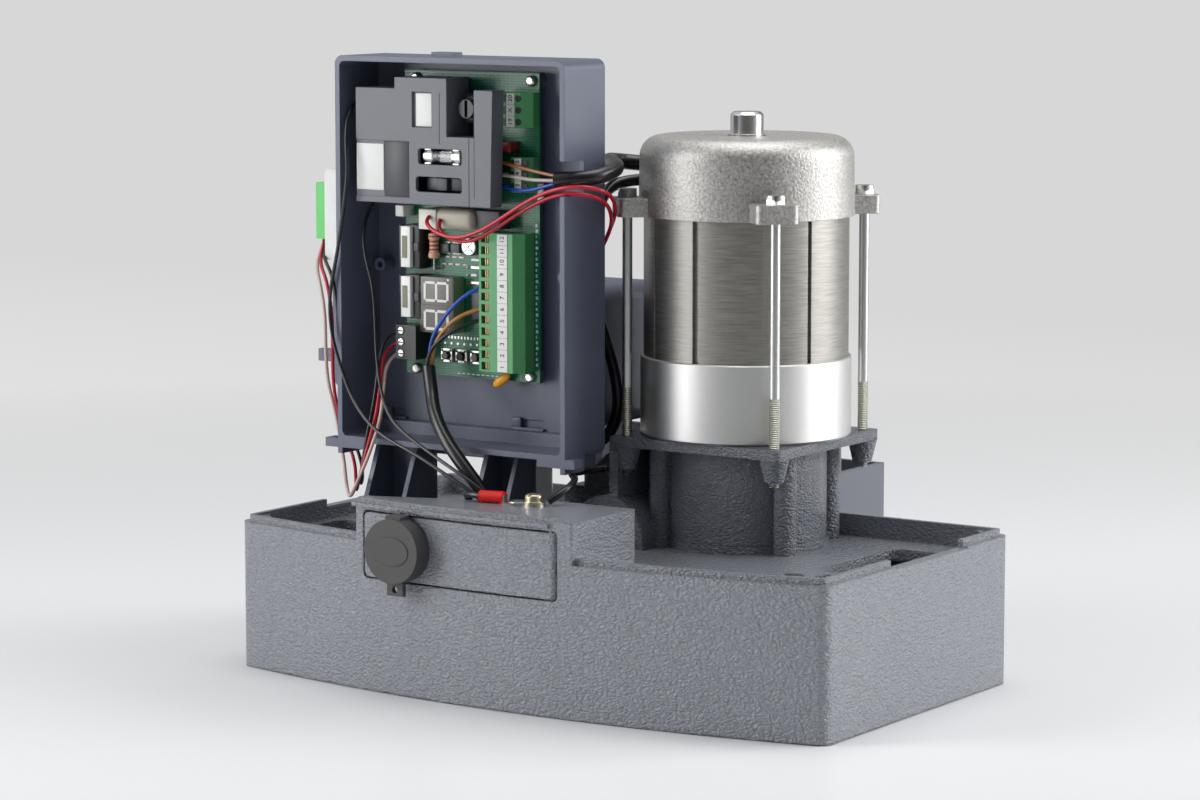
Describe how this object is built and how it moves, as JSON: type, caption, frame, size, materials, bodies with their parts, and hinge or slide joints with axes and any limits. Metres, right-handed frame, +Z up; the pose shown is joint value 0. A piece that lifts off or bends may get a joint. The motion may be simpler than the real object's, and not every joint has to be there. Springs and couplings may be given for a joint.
{
  "type": "slide gate operator",
  "caption": "Slide gate operator with cast base, worm gear, vertical motor, open control box, key release door and a rear drive pinion in a guard.",
  "frame": {"origin": "centre of the base's straight-sided rectangle at its bottom face, on the line of the output shaft", "axes": "+X to the right seen from the key door, +Y back toward the gate along the output shaft, +Z up along the motor shaft"},
  "size_m": [0.3032, 0.2244, 0.2738],
  "materials": {
    "paint": "wrinkle paint",
    "cast_alu": "as cast",
    "turned_alu": "turned",
    "lamination": "bare laminations",
    "steel": "bright",
    "zinc": "zinc plated",
    "copper": "enamelled winding",
    "bronze": "cast bronze",
    "seal": "oil seal",
    "box_plastic": "moulded",
    "guard_plastic": "moulded",
    "cover_plastic": "moulded",
    "board_green": "solder mask",
    "terminal_green": "moulded",
    "component": "moulded",
    "glass": "clear",
    "black": "moulded",
    "white": "moulded",
    "can": "drawn",
    "rubber_cap": "moulded",
    "lead": "insulation",
    "red_lead": "insulation"
  },
  "bodies": {
    "frame": {"base_casting": "paint", "gear_case": "paint", "gear_housing": "paint", "case_screws": "steel", "shaft_bearings": "steel", "output_bearings": "steel", "oil_seals": "seal", "pinion_guard": "guard_plastic", "motor_ring": "turned_alu", "stator_stack": "lamination", "stator_windings": "copper", "end_cap": "cast_alu", "tie_rods": "zinc", "hinge_pin": "steel", "control_box": "box_plastic", "box_stand": "box_plastic", "fixing_screws": "zinc", "rear_housing": "paint", "transformer": "lamination", "run_capacitor": "can", "circuit_board": "board_green", "board_screws": "zinc", "screw_terminals": "terminal_green", "board_cover": "cover_plastic", "glass_fuse": "glass", "number_display": "black", "board_components": "component", "receiver": "white", "side_bracket": "box_plastic", "earth_lug": "zinc", "earth_screw": "zinc", "motor_cable": "lead", "motor_wires": "lead", "red_wires": "red_lead", "capacitor_cable": "lead", "mains_cable": "lead", "mains_wires": "lead", "sensor_wires": "lead", "receiver_wires": "red_lead", "earth_wires": "lead"},
    "rotor": {"worm_shaft": "steel", "rotor_core": "lamination"},
    "output": {"worm_wheel": "bronze", "output_shaft": "steel", "drive_pinion": "zinc", "pinion_fixings": "steel"},
    "clutch": {"clutch_sleeve": "steel", "clutch_pin": "steel", "push_rod": "steel", "clutch_spring": "steel"},
    "door": {"release_door": "paint", "lock_body": "zinc"},
    "slider": {"release_slider": "zinc"},
    "plug": {"lock_plug": "steel"},
    "cap": {"key_cap": "rubber_cap"},
    "knob": {"force_knob": "black"},
    "button_1": {"push_button_1": "black"},
    "button_2": {"push_button_2": "black"},
    "button_3": {"push_button_3": "black"}
  },
  "joints": [
    {"name": "motor_spin", "type": "hinge", "parent": "frame", "child": "rotor", "pos_m": [0.0434, 0.0336, 0.14], "axis": [0, 0, 1], "continuous": true},
    {"name": "output_spin", "type": "hinge", "parent": "frame", "child": "output", "pos_m": [0, 0.05, 0.062], "axis": [0, 1, 0], "continuous": true},
    {"name": "release_open", "type": "hinge", "parent": "frame", "child": "door", "pos_m": [0.0266, -0.09153, 0.064], "axis": [0, 0, 1], "range_deg": [0, 90]},
    {"name": "slider_push", "type": "slide", "parent": "frame", "child": "slider", "axis": [0, 1, 0], "range_m": [0, 0.005]},
    {"name": "clutch_release", "type": "slide", "parent": "output", "child": "clutch", "axis": [0, 1, 0], "range_m": [0, 0.005]},
    {"name": "lock_turn", "type": "hinge", "parent": "door", "child": "plug", "pos_m": [-0.049, -0.09388, 0.0643], "axis": [0, 1, 0], "range_deg": [0, 90]},
    {"name": "cap_flip", "type": "hinge", "parent": "door", "child": "cap", "pos_m": [-0.049, -0.09805, 0.0793], "axis": [-1, 0, 0], "range_deg": [0, 100]},
    {"name": "force_turn", "type": "hinge", "parent": "frame", "child": "knob", "pos_m": [-0.056, -0.03, 0.2496], "axis": [0, 1, 0], "range_deg": [0, 270]},
    {"name": "press_1", "type": "slide", "parent": "frame", "child": "button_1", "axis": [0, 1, 0], "range_m": [0, 0.0004], "stiffness_N_per_m": 400},
    {"name": "press_2", "type": "slide", "parent": "frame", "child": "button_2", "axis": [0, 1, 0], "range_m": [0, 0.0004], "stiffness_N_per_m": 400},
    {"name": "press_3", "type": "slide", "parent": "frame", "child": "button_3", "axis": [0, 1, 0], "range_m": [0, 0.0004], "stiffness_N_per_m": 400}
  ],
  "couplings": [
    {"joint": "output_spin", "follows": "motor_spin", "ratio": 0.03125},
    {"joint": "slider_push", "follows": "release_open", "m_per_rad": 0.00318},
    {"joint": "clutch_release", "follows": "release_open", "m_per_rad": 0.00318}
  ]
}
